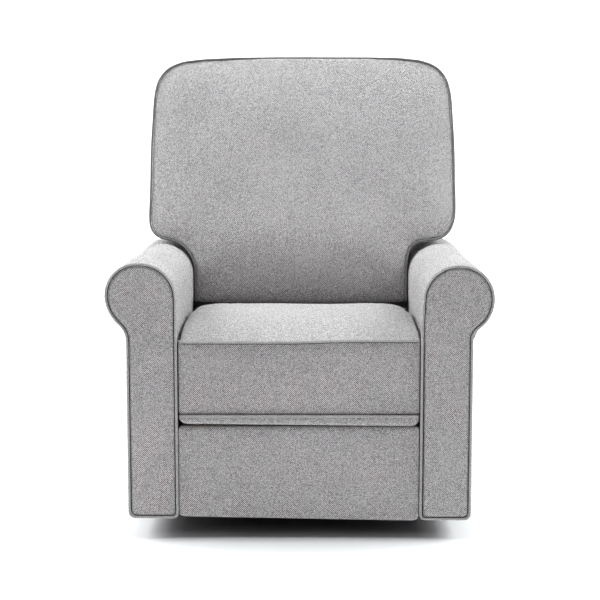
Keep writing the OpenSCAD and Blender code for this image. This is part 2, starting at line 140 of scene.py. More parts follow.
def tube(name, path, radius, material, closed=True, sides=10):
    """A round cord along a path of points."""
    p = np.array(path, float)
    n = len(p)
    tangents = np.roll(p, -1, 0) - np.roll(p, 1, 0)
    if not closed:
        tangents[0], tangents[-1] = p[1] - p[0], p[-1] - p[-2]
    tangents /= np.linalg.norm(tangents, axis=1)[:, None]
    side = np.cross(tangents[0], (0.31, 0.57, 0.76))
    verts, faces = [], []
    for i in range(n):
        side = side - tangents[i] * np.dot(side, tangents[i])
        side /= np.linalg.norm(side)
        up = np.cross(tangents[i], side)
        for k in range(sides):
            a = 2 * math.pi * k / sides
            verts.append(p[i] + radius * (math.cos(a) * side + math.sin(a) * up))
    rings = n if closed else n - 1
    shift = 0
    if closed:
        first = verts[:sides]
        last_side = side - tangents[0] * np.dot(side, tangents[0])
        seam = p[0] + radius * last_side / np.linalg.norm(last_side)
        shift = int(np.argmin([np.linalg.norm(v - seam) for v in first]))
    for i in range(rings):
        j = (i + 1) % n
        turn = shift if closed and j == 0 else 0
        for k in range(sides):
            faces.append((i * sides + k, i * sides + (k + 1) % sides,
                          j * sides + (k + 1 + turn) % sides, j * sides + (k + turn) % sides))
    if not closed:
        faces.append(tuple(range(sides)))
        faces.append(tuple((n - 1) * sides + k for k in range(sides)))
    return mesh_object(name, verts, faces, material)


def distance_to_line(points, line):
    """Shortest distance from each 2D point to a closed line of 2D points."""
    a = np.array(line, float)
    b = np.roll(a, -1, 0)
    best = np.full(len(points), 1e9)
    for p0, p1 in zip(a, b):
        d = p1 - p0
        t = np.clip(((points - p0) @ d) / max(d @ d, 1e-12), 0, 1)
        best = np.minimum(best, np.linalg.norm(points - p0 - t[:, None] * d, axis=1))
    return best


def prism(name, outline, y0, y1, material):
    """A solid between y0 and y1 whose outline is a list of (x, z) points."""
    n = len(outline)
    verts = [(x, y0, z) for x, z in outline] + [(x, y1, z) for x, z in outline]
    faces = [tuple(range(n)), tuple(range(n, 2 * n))]
    faces += [(i, (i + 1) % n, n + (i + 1) % n, n + i) for i in range(n)]
    return mesh_object(name, verts, faces, material)


def remesh(obj, voxel):
    """An even skin of small quads all over obj."""
    bm = bmesh.new()
    bm.from_mesh(obj.data)
    bmesh.ops.triangulate(bm, faces=bm.faces)
    bm.to_mesh(obj.data)
    bm.free()
    m = obj.modifiers.new("remesh", "REMESH")
    m.mode, m.voxel_size, m.use_smooth_shade = "VOXEL", voxel, True
    return apply_modifiers(obj)


def relax(obj, steps):
    """Smooths out the small steps that the voxels leave."""
    m = obj.modifiers.new("relax", "SMOOTH")
    m.iterations, m.factor = steps, 0.5
    return apply_modifiers(obj)


def soften(obj, weight, steps):
    """Levels small wrinkles where weight is 1 and leaves points alone where it is 0."""
    ends = np.empty(len(obj.data.edges) * 2, dtype=np.int32)
    obj.data.edges.foreach_get("vertices", ends)
    a, b = ends.reshape(-1, 2).T
    co = points_of(obj)
    n = len(co)
    neighbours = np.bincount(np.concatenate([a, b]), minlength=n)
    for _ in range(steps):
        for k in range(3):
            total = np.bincount(a, co[b, k], n) + np.bincount(b, co[a, k], n)
            co[:, k] += 0.5 * weight * (total / neighbours - co[:, k])
    set_points(obj, co)


def refine(obj):
    """Leaves a light subdivision on a finished soft piece."""
    m = obj.modifiers.new("subdivision", "SUBSURF")
    m.levels = m.render_levels = 1
    smooth_shade(obj)
    return obj


CLOTH_FRAMES = 20                       # length of a cloth simulation


def inflate(obj, held, cap, pressure):
    """Blows a closed skin up as cloth. held is 0 to 1 for each point, and cap limits how far
    a point moves."""
    rest = points_of(obj)
    group = obj.vertex_groups.new(name="held")
    for i, w in enumerate(held):
        if w > 0.01:
            group.add([i], float(w), "REPLACE")
    m = obj.modifiers.new("cloth", "CLOTH")
    s = m.settings
    s.quality = 5
    s.mass = 0.3
    s.tension_stiffness = s.compression_stiffness = 12
    s.shear_stiffness = 6
    s.bending_stiffness = 0.6
    s.use_pressure = True
    s.uniform_pressure_force = pressure
    s.effector_weights.gravity = 0
    s.vertex_group_mass = "held"
    m.collision_settings.use_collision = False
    m.point_cache.frame_start, m.point_cache.frame_end = 1, CLOTH_FRAMES
    for f in range(1, CLOTH_FRAMES + 1):
        bpy.context.scene.frame_set(f)
    apply_modifiers(obj)
    move = points_of(obj) - rest
    size = np.linalg.norm(move, axis=1)
    move *= np.minimum(1, cap / np.maximum(size, 1e-9))[:, None]
    set_points(obj, rest + move)
    obj.vertex_groups.clear()
    return obj


# ---- Materials ----


class Nodes:
    """Short way to build a node material."""

    def __init__(self, name):
        self.material = bpy.data.materials.new(name)
        self.material.use_nodes = True
        self.tree = self.material.node_tree
        self.tree.nodes.clear()
        self.out = self.tree.nodes.new("ShaderNodeOutputMaterial")
        self.shader = self.tree.nodes.new("ShaderNodeBsdfPrincipled")
        self.tree.links.new(self.shader.outputs[0], self.out.inputs[0])

    def put(self, socket, value):
        """Sets an input to a number or colour, or links it to another node's output."""
        if isinstance(value, bpy.types.NodeSocket):
            self.tree.links.new(value, socket)
        else:
            socket.default_value = value

    def node(self, kind, settings=None, **inputs):
        """A new node with its own settings and its inputs by name."""
        n = self.tree.nodes.new(kind)
        for k, v in (settings or {}).items():
            setattr(n, k, v)
        for k, v in inputs.items():
            self.put(n.inputs[k], v)
        return n

    def math(self, operation, a, b=0.0, clamp=False):
        n = self.tree.nodes.new("ShaderNodeMath")
        n.operation, n.use_clamp = operation, clamp
        self.put(n.inputs[0], a)
        self.put(n.inputs[1], b)
        return n.outputs[0]

    def coords(self, output="Object"):
        return self.node("ShaderNodeTexCoord").outputs[output]

    def noise(self, vector, scale, detail=2.0, rough=0.5):
        return self.node("ShaderNodeTexNoise", Vector=vector, Scale=scale, Detail=detail,
                         Roughness=rough)

    def ramp(self, value, stops):
        """Colours for a value: stops are (position, colour)."""
        n = self.node("ShaderNodeValToRGB", Fac=value)
        points = n.color_ramp.elements
        while len(points) < len(stops):
            points.new(0.5)
        for e, (at, colour) in zip(points, stops):
            e.position = at
            e.color = (*colour, 1)
        return n.outputs[0]

    def bump(self, height, distance, strength):
        return self.node("ShaderNodeBump", Height=height, Distance=distance,
                         Strength=strength).outputs[0]

    def height(self, place):
        return self.node("ShaderNodeSeparateXYZ", Vector=place).outputs[2]

    def set(self, **inputs):
        """Sets the shader's inputs, and gives the finished material."""
        for k, v in inputs.items():
            self.put(self.shader.inputs[k.replace("_", " ")], v)
        return self.material


def grey(level):
    """A neutral grey in linear light."""
    return (level, level, level)


def yarn(level):
    """The grey of the upholstery: a breath of rose in it."""
    level = min(level, 0.93)
    return (level * 1.034, level, level)


THREAD = 0.0012                         # thickness of a thread of the cloth
PITCH = 0.0023                          # width of one light or dark stitch of its weave
DRIFT = 0.0017                          # how far a thread wanders


def fabric(name, level, contrast=0.95, foot=0.0):
    """Tweed: a plain weave of slubby yarn, light and dark by turns, with each thread its own
    tone. foot is painted shade: it darkens the cloth toward the seat."""
    n = Nodes(name)
    place = n.coords()
    moved = n.node("ShaderNodeVectorMath", {"operation": "MULTIPLY_ADD"})
    n.put(moved.inputs[0], n.noise(place, 300.0, 2.0).outputs["Color"])
    n.put(moved.inputs[1], (DRIFT,) * 3)
    n.put(moved.inputs[2], place)
    split = n.node("ShaderNodeSeparateXYZ", Vector=moved.outputs[0])
    waves = [n.math("SINE", n.math("MULTIPLY", split.outputs[k], math.pi / PITCH))
             for k in range(3)]
    normal = n.node("ShaderNodeSeparateXYZ", Vector=n.coords("Normal"))
    weave = None
    for k in range(3):
        facing = n.math("POWER", n.math("ABSOLUTE", normal.outputs[k]), 3.0)
        a, b = [waves[j] for j in range(3) if j != k]
        stitch = n.math("MULTIPLY", n.math("MULTIPLY", a, b), facing)
        weave = stitch if weave is None else n.math("ADD", weave, stitch)
    cells = n.node("ShaderNodeTexVoronoi", Vector=moved.outputs[0], Scale=1.0 / THREAD)
    shade = n.node("ShaderNodeSeparateXYZ", Vector=cells.outputs["Color"]).outputs[0]
    fleck = n.noise(place, 900.0, 2.0, 0.6).outputs["Fac"]
    wide = n.noise(place, 5.0, 3.0).outputs["Fac"]
    tone = n.math("ADD", n.math("MULTIPLY", weave, 0.36), n.math("MULTIPLY", shade, 0.52))
    tone = n.math("ADD", tone, n.math("ADD", n.math("MULTIPLY", fleck, 0.10), 0.19))
    tone = n.math("ADD", tone, n.math("MULTIPLY", n.math("SUBTRACT", wide, 0.5), 0.10))
    # painted shade: the tone falls off from a height of 0.68 down toward the seat, by the amount
    # foot
    if foot:
        painted_shade_top, fade = 0.68, 0.22
        low = n.math("MULTIPLY", n.math("SUBTRACT", painted_shade_top, n.height(place)), 1 / fade,
                     clamp=True)
        tone = n.math("SUBTRACT", tone, n.math("MULTIPLY", n.math("POWER", low, 1.5), foot))
    colour = n.ramp(tone, [(0.15, yarn(level * (1 - contrast))), (0.50, yarn(level)),
                           (0.85, yarn(level * (1 + contrast)))])
    relief = n.math("ADD", weave, n.math("MULTIPLY", fleck, 0.9))
    return n.set(Base_Color=colour, Roughness=0.95, Specular_IOR_Level=0.12,
                 Sheen_Weight=0.04, Sheen_Roughness=0.5, Normal=n.bump(relief, 0.0007, 0.8))


def worn_metal(name, colour, roughness, metallic, grain=0.35):
    """Metal or powder coat with fine grain and rubbed patches."""
    n = Nodes(name)
    place = n.coords()
    fine = n.noise(place, 900.0, 3.0).outputs["Fac"]
    patch = n.noise(place, 14.0, 4.0).outputs["Fac"]
    shade = n.ramp(patch, [(0.3, tuple(c * (1 - grain) for c in colour)),
                           (0.7, tuple(min(1, c * (1 + grain)) for c in colour))])
    rough = n.math("ADD", n.math("MULTIPLY", patch, 0.25), roughness - 0.12, clamp=True)
    return n.set(Base_Color=shade, Metallic=metallic, Roughness=rough,
                 Normal=n.bump(fine, 0.0003, 0.3))


def wood(name):
    """Raw sawn timber and plywood, grain along X."""
    n = Nodes(name)
    stretch = n.node("ShaderNodeMapping", Vector=n.coords())
    stretch.inputs["Scale"].default_value = (3.0, 26.0, 26.0)
    rings = n.noise(stretch.outputs[0], 3.2, 5.0, 0.6).outputs["Fac"]
    pores = n.noise(stretch.outputs[0], 30.0, 3.0, 0.6).outputs["Fac"]
    tone = n.math("ADD", n.math("MULTIPLY", rings, 0.7), n.math("MULTIPLY", pores, 0.3))
    colour = n.ramp(tone, [(0.35, (0.32, 0.19, 0.095)), (0.5, (0.52, 0.35, 0.19)),
                           (0.68, (0.66, 0.48, 0.29))])
    return n.set(Base_Color=colour, Roughness=0.7, Normal=n.bump(tone, 0.0008, 0.4))


def felt(name, level):
    """Matted fibre, for the seat deck and for the black sheets that paint shade into gaps."""
    n = Nodes(name)
    fibre = n.noise(n.coords(), 380.0, 6.0, 0.7).outputs["Fac"]
    colour = n.ramp(fibre, [(0.3, grey(level * 0.6)), (0.7, grey(level * 1.5))])
    return n.set(Base_Color=colour, Roughness=0.95, Sheen_Weight=0.2,
                 Normal=n.bump(fibre, 0.001, 0.6))


def moulded(name, level, roughness):
    """Moulded rubber or plastic with a fine spark texture."""
    n = Nodes(name)
    spark = n.noise(n.coords(), 1400.0, 2.0).outputs["Fac"]
    patch = n.noise(n.coords(), 30.0, 3.0).outputs["Fac"]
    colour = n.ramp(patch, [(0.3, grey(level * 0.8)), (0.7, grey(level * 1.3))])
    return n.set(Base_Color=colour, Roughness=roughness, Normal=n.bump(spark, 0.0002, 0.4))


CLOTH = fabric("tweed", 0.47)
# the back's cloth, with painted shade darkening its foot
BACK_CLOTH_PAINTED_SHADE = fabric("tweed_back_painted_shade", 0.42, foot=0.14)
WELT_CLOTH = fabric("tweed_welt", 0.47, contrast=0.50)
# painted shade: a darker copy of the welt cloth, for the back cushion's welt
WELT_PAINTED_SHADE_CLOTH = fabric("tweed_welt_painted_shade", 0.17, contrast=0.40)
# painted shade: near-black cloth for thin cords that darken the grooves beside the welts
GROOVE_PAINTED_SHADE = fabric("groove_painted_shade", 0.035, contrast=0.40)
# painted shade: near-black cloth for the sheets and the roll that darken the gaps and the crease
PAINTED_SHADE_LINING = felt("black_painted_shade_lining", 0.012)
MATERIALS = {
    "base_steel": worn_metal("black_powder_coat", (0.022, 0.022, 0.024), 0.5, 0.0),
    "mechanism_steel": worn_metal("dark_zinc", (0.10, 0.10, 0.105), 0.42, 0.8),
    "bright_steel": worn_metal("zinc_plate", (0.58, 0.58, 0.57), 0.33, 1.0, 0.2),
    "spring_steel": worn_metal("oiled_wire", (0.26, 0.25, 0.24), 0.36, 1.0),
    "bushing_brass": worn_metal("turned_brass", (0.62, 0.44, 0.18), 0.3, 1.0, 0.2),
    "frame_wood": wood("raw_timber"),
    "deck_felt": felt("grey_felt", 0.09),
    "floor_rubber": moulded("black_rubber", 0.02, 0.75),
    "lever_plastic": moulded("black_plastic", 0.018, 0.42),
    "upholstery_cushions": CLOTH,
    "upholstery_body": CLOTH,
}


def dress_cad_nodes():
    """Every CAD node takes its slot's procedural material."""
    for sub in frame["record"]["subparts"]:
        obj = frame["nodes"][sub["node"]]
        obj.data.materials.clear()
        obj.data.materials.append(MATERIALS[sub["material_slot"]])


# ---- Floor, light and camera ----


def make_stage():
    """A pale floor with a soft contact shadow painted into its colour under the chair, and far
    behind the chair a glowing white sweep as its backdrop."""
    n = Nodes("pale_floor_painted_shadow")
    place = n.coords()
    tone = n.noise(place, 2.5, 3.0).outputs["Fac"]
    x, y, _ = n.node("ShaderNodeSeparateXYZ", Vector=place).outputs
    # painted shadow: a soft dark pool in the floor's colour under the chair
    shade_half_x, shade_half_y, shade_y, fade_x, fade_y = 0.355, 0.400, -0.075, 0.09, 0.10
    beside = n.math("SUBTRACT", shade_half_x, n.math("ABSOLUTE", x))
    ahead = n.math("SUBTRACT", shade_half_y, n.math("ABSOLUTE", n.math("ADD", y, -shade_y)))
    shade = n.math("MULTIPLY", n.math("MULTIPLY", beside, 1 / fade_x, clamp=True),
                   n.math("MULTIPLY", ahead, 1 / fade_y, clamp=True))
    tone = n.math("SUBTRACT", n.math("MULTIPLY", tone, 0.2), n.math("MULTIPLY", shade, 0.8))
    tone = n.math("ADD", tone, 0.8)
    # the lowest stop is the colour of the painted shadow
    colour = n.ramp(tone, [(0.10, (0.26, 0.26, 0.28)), (0.86, (0.93, 0.93, 0.935)),
                           (0.94, (0.95, 0.95, 0.955))])
    n.set(Base_Color=colour, Roughness=0.85)
    half, near_y, far_y, run, bend, top = 9.0, -8.0, 1.6, 2.4, 1.6, 7.0
    floor = mesh_object("floor", [(-half, near_y, 0), (half, near_y, 0), (half, far_y, 0),
                                  (-half, far_y, 0)], [(0, 1, 2, 3)], n.material)
    rows = [(far_y, 0.0), (far_y + run, 0.0)]
    rows += [(far_y + run + bend * math.sin(a), bend * (1 - math.cos(a)))
             for a in (math.radians(9 * k) for k in range(1, 11))]
    rows.append((far_y + run + bend, top))
    verts = [(x, y, z) for y, z in rows for x in (-half, half)]
    faces = [(2 * i, 2 * i + 1, 2 * i + 3, 2 * i + 2) for i in range(len(rows) - 1)]
    glow = Nodes("white_backdrop")
    drift = glow.noise(glow.coords(), 0.5, 2.0).outputs["Fac"]
    glow.set(Base_Color=(0.9, 0.9, 0.9, 1), Roughness=0.9,
             Emission_Color=glow.ramp(drift, [(0.3, (0.99, 0.99, 0.99)), (0.7, (1, 1, 1))]),
             Emission_Strength=1.05)
    backdrop = mesh_object("backdrop", verts, faces, glow.material)


def area_light(name, place, target, size, power, colour=(1, 1, 1)):
    light = bpy.data.lights.new(name, "AREA")
    light.shape, light.size, light.energy, light.color = "SQUARE", size, power, colour
    obj = collection_add(bpy.data.objects.new(name, light))
    obj.location = place
    obj.rotation_euler = (Vector(target) - Vector(place)).to_track_quat("-Z", "Y").to_euler()


def make_light():
    """One soft light above, one on each side and a weaker one in front, in a dim white room."""
    world = bpy.data.worlds.new("studio")
    world.use_nodes = True
    world.node_tree.nodes["Background"].inputs[0].default_value = (1, 1, 1, 1)
    world.node_tree.nodes["Background"].inputs[1].default_value = 0.12
    bpy.context.scene.world = world
    cool = (0.955, 0.987, 1.0)
    area_light("overhead", (-0.1, 0.0, 3.5), (0, 0, 0.5), 2.6, 53, cool)
    for x in (-2.3, 2.3):
        area_light("high_side", (x, -0.1, 2.2), (0, 0, 0.5), 1.6, 80, cool)
    area_light("front", (-1.1, -4.5, 3.0), (0, 0, 0.6), 2.2, 29.5)


LENS, SENSOR = 93.66, 36.0              # focal length and sensor width in millimetres
CAMERA_AT = (0.020, -3.852, 1.029)
CAMERA_DOWN, CAMERA_TURN = 8.08, 0.32   # degrees below level, and degrees to the left


def make_camera():
    data = bpy.data.cameras.new("camera")
    data.sensor_width = SENSOR
    data.lens = LENS
    cam = collection_add(bpy.data.objects.new("camera", data))
    cam.location = CAMERA_AT
    cam.rotation_euler = (math.radians(90 - CAMERA_DOWN), 0, math.radians(CAMERA_TURN))
    bpy.context.scene.camera = cam
    bpy.context.scene.view_settings.view_transform = "Standard"


# ---- Upholstery ----

LEAN = math.radians(16)                 # lean of the back from upright
BACK_FOOT = (0.172, 0.300)              # y and z of the foot of the back frame's front face


def smooth(t):
    """Eases from 0 to 1 as t goes from 0 to 1. Works on numbers and arrays."""
    t = np.clip(t, 0, 1)
    return t * t * (3 - 2 * t)


def ripple(points, size, depth, seed=0.0):
    """Slow uneven waves, as on fabric over foam: one offset for each point."""
    return np.array([depth * noise.noise(Vector((p[0] / size + seed, p[1] / size, p[2] / size)))
                     for p in points])


def rounded_box(x0, x1, z0, z1, low_r, high_r):
    """An outline of (x, z) points with round lower and upper corners."""
    return (arc((x0 + low_r, z0 + low_r), low_r, 180, 270, 6)
            + arc((x1 - low_r, z0 + low_r), low_r, 270, 360, 6)
            + arc((x1 - high_r, z1 - high_r), high_r, 0, 90, 6)
            + arc((x0 + high_r, z1 - high_r), high_r, 90, 180, 6))


def even_distance(points, line):
    """Distance to a closed line without creases where two parts of it are equally near."""
    sharpness, step = 60.0, 0.006
    total = np.zeros(len(points))
    for p in even_spacing([tuple(p) for p in line], step):
        total += np.exp(-sharpness * np.linalg.norm(points - p, axis=1))
    return np.clip(-np.log(total * step * sharpness / 2 + 1e-12) / sharpness, 0, None)


def near(points, line, reach):
    """1 for points on a closed line, falling to 0 at reach from it."""
    return 1 - smooth(distance_to_line(points, line) / reach)


def finish_soft(obj, body, nodes):
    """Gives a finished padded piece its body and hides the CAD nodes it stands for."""
    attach(obj, body)
    if nodes:
        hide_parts(*nodes)
    return obj


def welt(name, path, body, radius=WELT_R, closed=True,
         material=WELT_CLOTH):
    """A fabric-covered cord sewn along a seam."""
    obj = tube(name, even_spacing([tuple(p) for p in path], CORD_STEP, closed), radius,
               material, closed)
    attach(obj, body)
    return obj


def sheet(name, corners, body, material):
    """Flat cloth tacked over a frame: a thin block given by its eight corners."""
    faces = [(0, 1, 3, 2), (4, 6, 7, 5), (0, 4, 5, 1), (2, 3, 7, 6), (0, 2, 6, 4), (1, 5, 7, 3)]
    obj = mesh_object(name, corners, faces, material, smooth=False)
    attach(obj, body)
    return obj


def square_ends(co, left, right, front_y, reach=0.0035):
    """Makes the upright front edges of a boxed piece crisp again after its skin is smoothed."""
    ends = (co[:, 0] < left + reach) | (co[:, 0] > right - reach)
    co[:, 0] = np.where(co[:, 0] < left + reach, left, co[:, 0])
    co[:, 0] = np.where(co[:, 0] > right - reach, right, co[:, 0])
    co[:, 1] = np.where(ends & (co[:, 1] < front_y + reach), front_y, co[:, 1])


def arm_outline(inset, lift=0.0, skew=0.0, blend=0.030, swell=0.0, hem=0.0):
    """Front view of the right arm: straight inner face, roll, hollow blend, outer face.
    lift raises the roll, skew raises its outer side, swell moves the inner face in and hem
    lowers the foot."""
    inner_r, outer_r = 0.008, 0.012
    r, outer, low = ROLL_R - inset, ARM_OUTER_X - inset, HEM_Z - hem + inset
    inner, blend = INNER_X + inset - swell, blend + inset
    dx = outer + blend - ROLL_X
    dz = math.sqrt((r + blend) ** 2 - dx * dx)
    a = math.degrees(math.atan2(dz, -dx))
    line = arc((inner + inner_r, low + inner_r), inner_r, 180, 270, 4)
    line += arc((outer - outer_r, low + outer_r), outer_r, 270, 360, 5)
    line += arc((outer + blend, ROLL_Z - dz), blend, 180, a, 8)
    line += arc((ROLL_X, ROLL_Z), r, a - 180, 180, 44)
    line.append((inner, ROLL_Z - 0.06))
    shaped = []
    for x, z in line:
        up = float(smooth((z - 0.40) / 0.10))
        shaped.append((max(x, inner), z + up * (lift + skew * max(0.0, x - ROLL_X))))
    return shaped


# How the stuffed arms differ, by side: -1 is the left arm and 1 the right
ARM_SHAPE = {-1: {"lift": 0.003, "skew": 0.085, "blend": 0.040, "hem": 0.0048},
             1: {"lift": -0.001, "skew": 0.030, "blend": 0.026, "hem": 0.0085}}
ARM_SLOPE = 0.009                       # how much lower the rear of an arm's roll is
FACING_SWELL = {-1: 0.0002, 1: 0.0032}  # how far the inner edge of an arm's front swells in
PANEL_INSET = 0.0074                    # from the arm's outline to its padded front panel


def make_arm_facing(side):
    """The padded panel on the front of an arm, its backing, the welt round it and a thin dark
    cord inside the welt that paints shade into the groove."""
    name = "left" if side < 0 else "right"
    shape = dict(ARM_SHAPE[side], swell=FACING_SWELL[side])
    edge = arm_outline(PANEL_INSET, **shape)
    crown_height, tuck_depth = 0.0035, 0.0012
    panel = prism("arm_front_panel_" + name, edge, FRONT_Y + 0.0040, FRONT_Y + 0.0140, CLOTH)
    remesh(panel, 0.0040)
    relax(panel, 1)
    co = points_of(panel)
    d = distance_to_line(co[:, [0, 2]], edge)
    front = co[:, 1] < FRONT_Y + 0.009
    crown = crown_height * (1 - (1 - np.clip(d / 0.030, 0, 1)) ** 3)
    tuck = tuck_depth * (1 - smooth(d / 0.005))
    co[:, 1] += np.where(front, tuck - crown + ripple(co, 0.07, 0.0007, side), 0)
    co[:, 0] *= side
    set_points(panel, co)
    if side < 0:
        panel.data.flip_normals()
    refine(panel)
    finish_soft(panel, "chair_body", ["arm_facing_" + name])
    backing = prism("arm_front_backing_" + name,
                    [(side * x, z) for x, z in arm_outline(0.0018, **shape)],
                    FRONT_Y + 0.0100, FRONT_Y + 0.0200, CLOTH)
    finish_soft(backing, "chair_body", [])
    path = [(side * x, FRONT_Y + 0.0046, z) for x, z in arm_outline(WELT_R, **shape)]
    welt("arm_front_welt_" + name, path, "chair_body", WELT_R - 0.0002)
    # painted shade: a thin dark cord in the groove inside the welt
    path = [(side * x, FRONT_Y + 0.0044, z) for x, z in arm_outline(PANEL_INSET - 0.0003, **shape)]
    welt("arm_front_groove_shade_" + name, path, "chair_body", 0.0009, material=GROOVE_PAINTED_SHADE)


def arm_slices():
    """(y, inset) of the arm cover from behind the front panel to its rounded rear end."""
    y0, y1, inset, rear_r, steps = PAD_LOW.y + 0.0006, PAD_HIGH.y, 0.003, 0.014, 40
    rows = [(y0, 0.010), (y0 + 0.004, 0.0065), (y0 + 0.010, 0.0045), (y0 + 0.018, 0.0034)]
    for i in range(steps + 1):
        rows.append((y0 + 0.030 + (y1 - y0 - 0.046) * i / steps, inset))
    rows += [(y1 - rear_r * (1 - math.sin(a)), inset + rear_r * (1 - math.cos(a)))
             for a in (math.radians(15 * k) for k in range(1, 7))]
    return rows


def make_arm_cover(side):
    """Fabric over the arm: one skin lofted from front to rear, and the welt at its rear."""
    name = "left" if side < 0 else "right"
    rows = arm_slices()
    verts, count, front_reach = [], 150, 0.40
    for y, inset in rows:
        fade = 1 - float(smooth((y - PAD_LOW.y) / front_reach))
        shape = {k: v * fade for k, v in ARM_SHAPE[side].items() if k != "blend"}
        shape["lift"] -= ARM_SLOPE * float(smooth((y + 0.30) / 0.42))
        line = arm_outline(inset, blend=0.030 + (ARM_SHAPE[side]["blend"] - 0.030) * fade,
                           **shape)
        p = np.array(line + line[:1])
        s = np.concatenate([[0], np.cumsum(np.linalg.norm(np.diff(p, axis=0), axis=1))])
        at = np.linspace(0, s[-1], count + 1)[:-1]
        verts += [(a, y, b) for a, b in zip(np.interp(at, s, p[:, 0]),
                                            np.interp(at, s, p[:, 1]))]
    n, puff_depth, inner_fill, outer_fill = len(rows), 0.0016, 0.0028, 0.004
    faces = [(i * count + k, i * count + (k + 1) % count,
              (i + 1) * count + (k + 1) % count, (i + 1) * count + k)
             for i in range(n - 1) for k in range(count)]
    faces += [tuple(range(count)), tuple((n - 1) * count + k for k in range(count))]
    cover = mesh_object("arm_cover_" + name, verts, faces, CLOTH)
    co = points_of(cover)
    out = np.stack([co[:, 0] - ROLL_X, co[:, 2] - ROLL_Z], 1)
    r = np.linalg.norm(out, axis=1)
    on_roll = smooth((co[:, 2] - (ROLL_Z - 0.07)) / 0.05)
    puff = ripple(co, 0.11, puff_depth, 3.7 * side) * on_roll
    co[:, 0] += np.where(co[:, 0] > INNER_X + 0.01, out[:, 0] / r * puff, 0)
    co[:, 0] -= inner_fill * smooth((co[:, 2] - 0.456) / 0.03) * (co[:, 0] < INNER_X + 0.03)
    co[:, 2] += out[:, 1] / r * puff
    outer_face = (co[:, 0] > ARM_OUTER_X - 0.006) & (co[:, 2] < ROLL_Z - 0.09)
    v = np.clip((co[:, 2] - HEM_Z) / (ROLL_Z - 0.10 - HEM_Z), 0, 1)
    w = np.clip((co[:, 1] - PAD_LOW.y) / (PAD_HIGH.y - PAD_LOW.y), 0, 1)
    fullness = outer_fill * np.sin(math.pi * v) * np.sin(math.pi * w) ** 0.5
    co[:, 0] += np.where(outer_face, fullness + ripple(co, 0.16, 0.0012, 9.1 * side), 0)
    co[:, 0] *= side
    set_points(cover, co)
    if side < 0:
        cover.data.flip_normals()
    refine(cover)
    finish_soft(cover, "chair_body", ["arm_pad_" + name])
    rear = [(side * x, PAD_HIGH.y - 0.0035, z)
            for x, z in arm_outline(0.0075, lift=-ARM_SLOPE)]
    welt("arm_rear_welt_" + name, rear, "chair_body", 0.0028)


def seam_rise(x):
    """How much higher the seat's front seam runs on its right."""
    return 0.0036 * smooth((x + 0.03) / 0.15)


def tucked_end(x, depth):
    """How far back a cord across the seat front runs at x: its ends turn in beside the arms."""
    return depth * abs(x / 0.2695) ** 60


def make_seat():
    """The boxed seat cushion: full front border, welt along its front seam, and a crowned
    top that rolls over at the sides and dips under the back."""
    left, right, seam_z = -0.2702, 0.2674, 0.4478
    y0, y1, z0 = SEAT_LOW.y + 0.0030, SEAT_HIGH.y - 0.004, SEAT_LOW.z - 0.0032
    crown, rear_dip, corner_drop, lever_gap = 0.0302, 0.004, 0.013, 0.0036
    seat = prism("seat_cushion_soft", rounded_box(left, right, z0, seam_z, 0.003, 0.002),
                 y0, y1, CLOTH)
    remesh(seat, 0.0055)
    relax(seat, 1)
    co = points_of(seat)
    x, y, z = co.T
    # v runs from 0 at the front to 1 at the rear, side from 0 at the middle to 1 at the ends
    v = (y - y0) / (y1 - y0)
    side = np.abs((x - (left + right) / 2) / ((right - left) / 2))
    top = smooth((z - (seam_z - 0.045)) / 0.040)
    across = 1 - 0.12 * side ** 10
    along = 1 - (1 - np.clip(v / 0.40, 0, 1)) ** 2.6
    rear = 1 - smooth((v - 0.71) / 0.13)
    seams = [[(left, y0, seam_z), (right, y0, seam_z)],
             [(left, y0, z0), (left, y0, seam_z)],
             [(right, y0, z0), (right, y0, seam_z)]]
    held = smooth((z0 + 0.0115 - z) / 0.006) + smooth((v - 0.84) / 0.06)
    for line in seams:
        held = held + near(co, line, 0.012)
    z = z + top * seam_rise(x) * (1 - smooth(v / 0.30))
    corner = np.clip((side - 0.86) / 0.14, 0, 1) ** 2 * smooth((v - 0.50) / 0.20) * rear
    z = z + top * (crown * across * along * rear - corner_drop * corner - rear_dip * (1 - rear))
    tuck = smooth((0.012 - (co[:, 2] - z0)) / 0.012) * smooth((0.02 - (y - y0)) / 0.02)
    y = y + 0.002 * tuck ** 2
    set_points(seat, np.stack([x, y, z], 1))
    is_top = co[:, 2] > seam_z - 0.004
    is_front = (co[:, 1] < y0 + 0.01) & ~is_top
    top_puff, front_puff, side_puff = 0.0110, 0.0035, 0.0020
    cap = np.where(is_top, top_puff * np.clip(rear, 0.1, 1),
                   np.where(is_front, front_puff, side_puff))
    inflate(seat, np.clip(held, 0, 1), cap, pressure=5.0)
    relax(seat, 2)
    co = points_of(seat)
    co[:, 2] += np.where(co[:, 2] > seam_z, ripple(co, 0.12, 0.0016, 5.0), 0)
    square_ends(co, left, right, y0)
    beside_lever = smooth((co[:, 1] - y0 - 0.002) / 0.008) * (co[:, 0] < left + lever_gap)
    co[:, 0] += beside_lever * (left + lever_gap - co[:, 0])
    set_points(seat, co)
    refine(seat)
    finish_soft(seat, "chair_body", ["seat_cushion"])
    # the welt along the seat's front seam, and under it a thin dark cord of painted shade in the
    # groove
    for name, radius, forward, up, material in (("seat_welt", 0.0034, 0.0014, 0.0016, WELT_CLOTH),
                                                ("seat_groove_shade", 0.0011, 0.0006, -0.0026, GROOVE_PAINTED_SHADE)):
        line = [(x, y0 - forward + tucked_end(x, 0.010), seam_z + up + seam_rise(x))
                for x in np.linspace(left + 0.001, right - 0.001, 160)]
        welt(name, line, "chair_body", radius, closed=False,
             material=material)


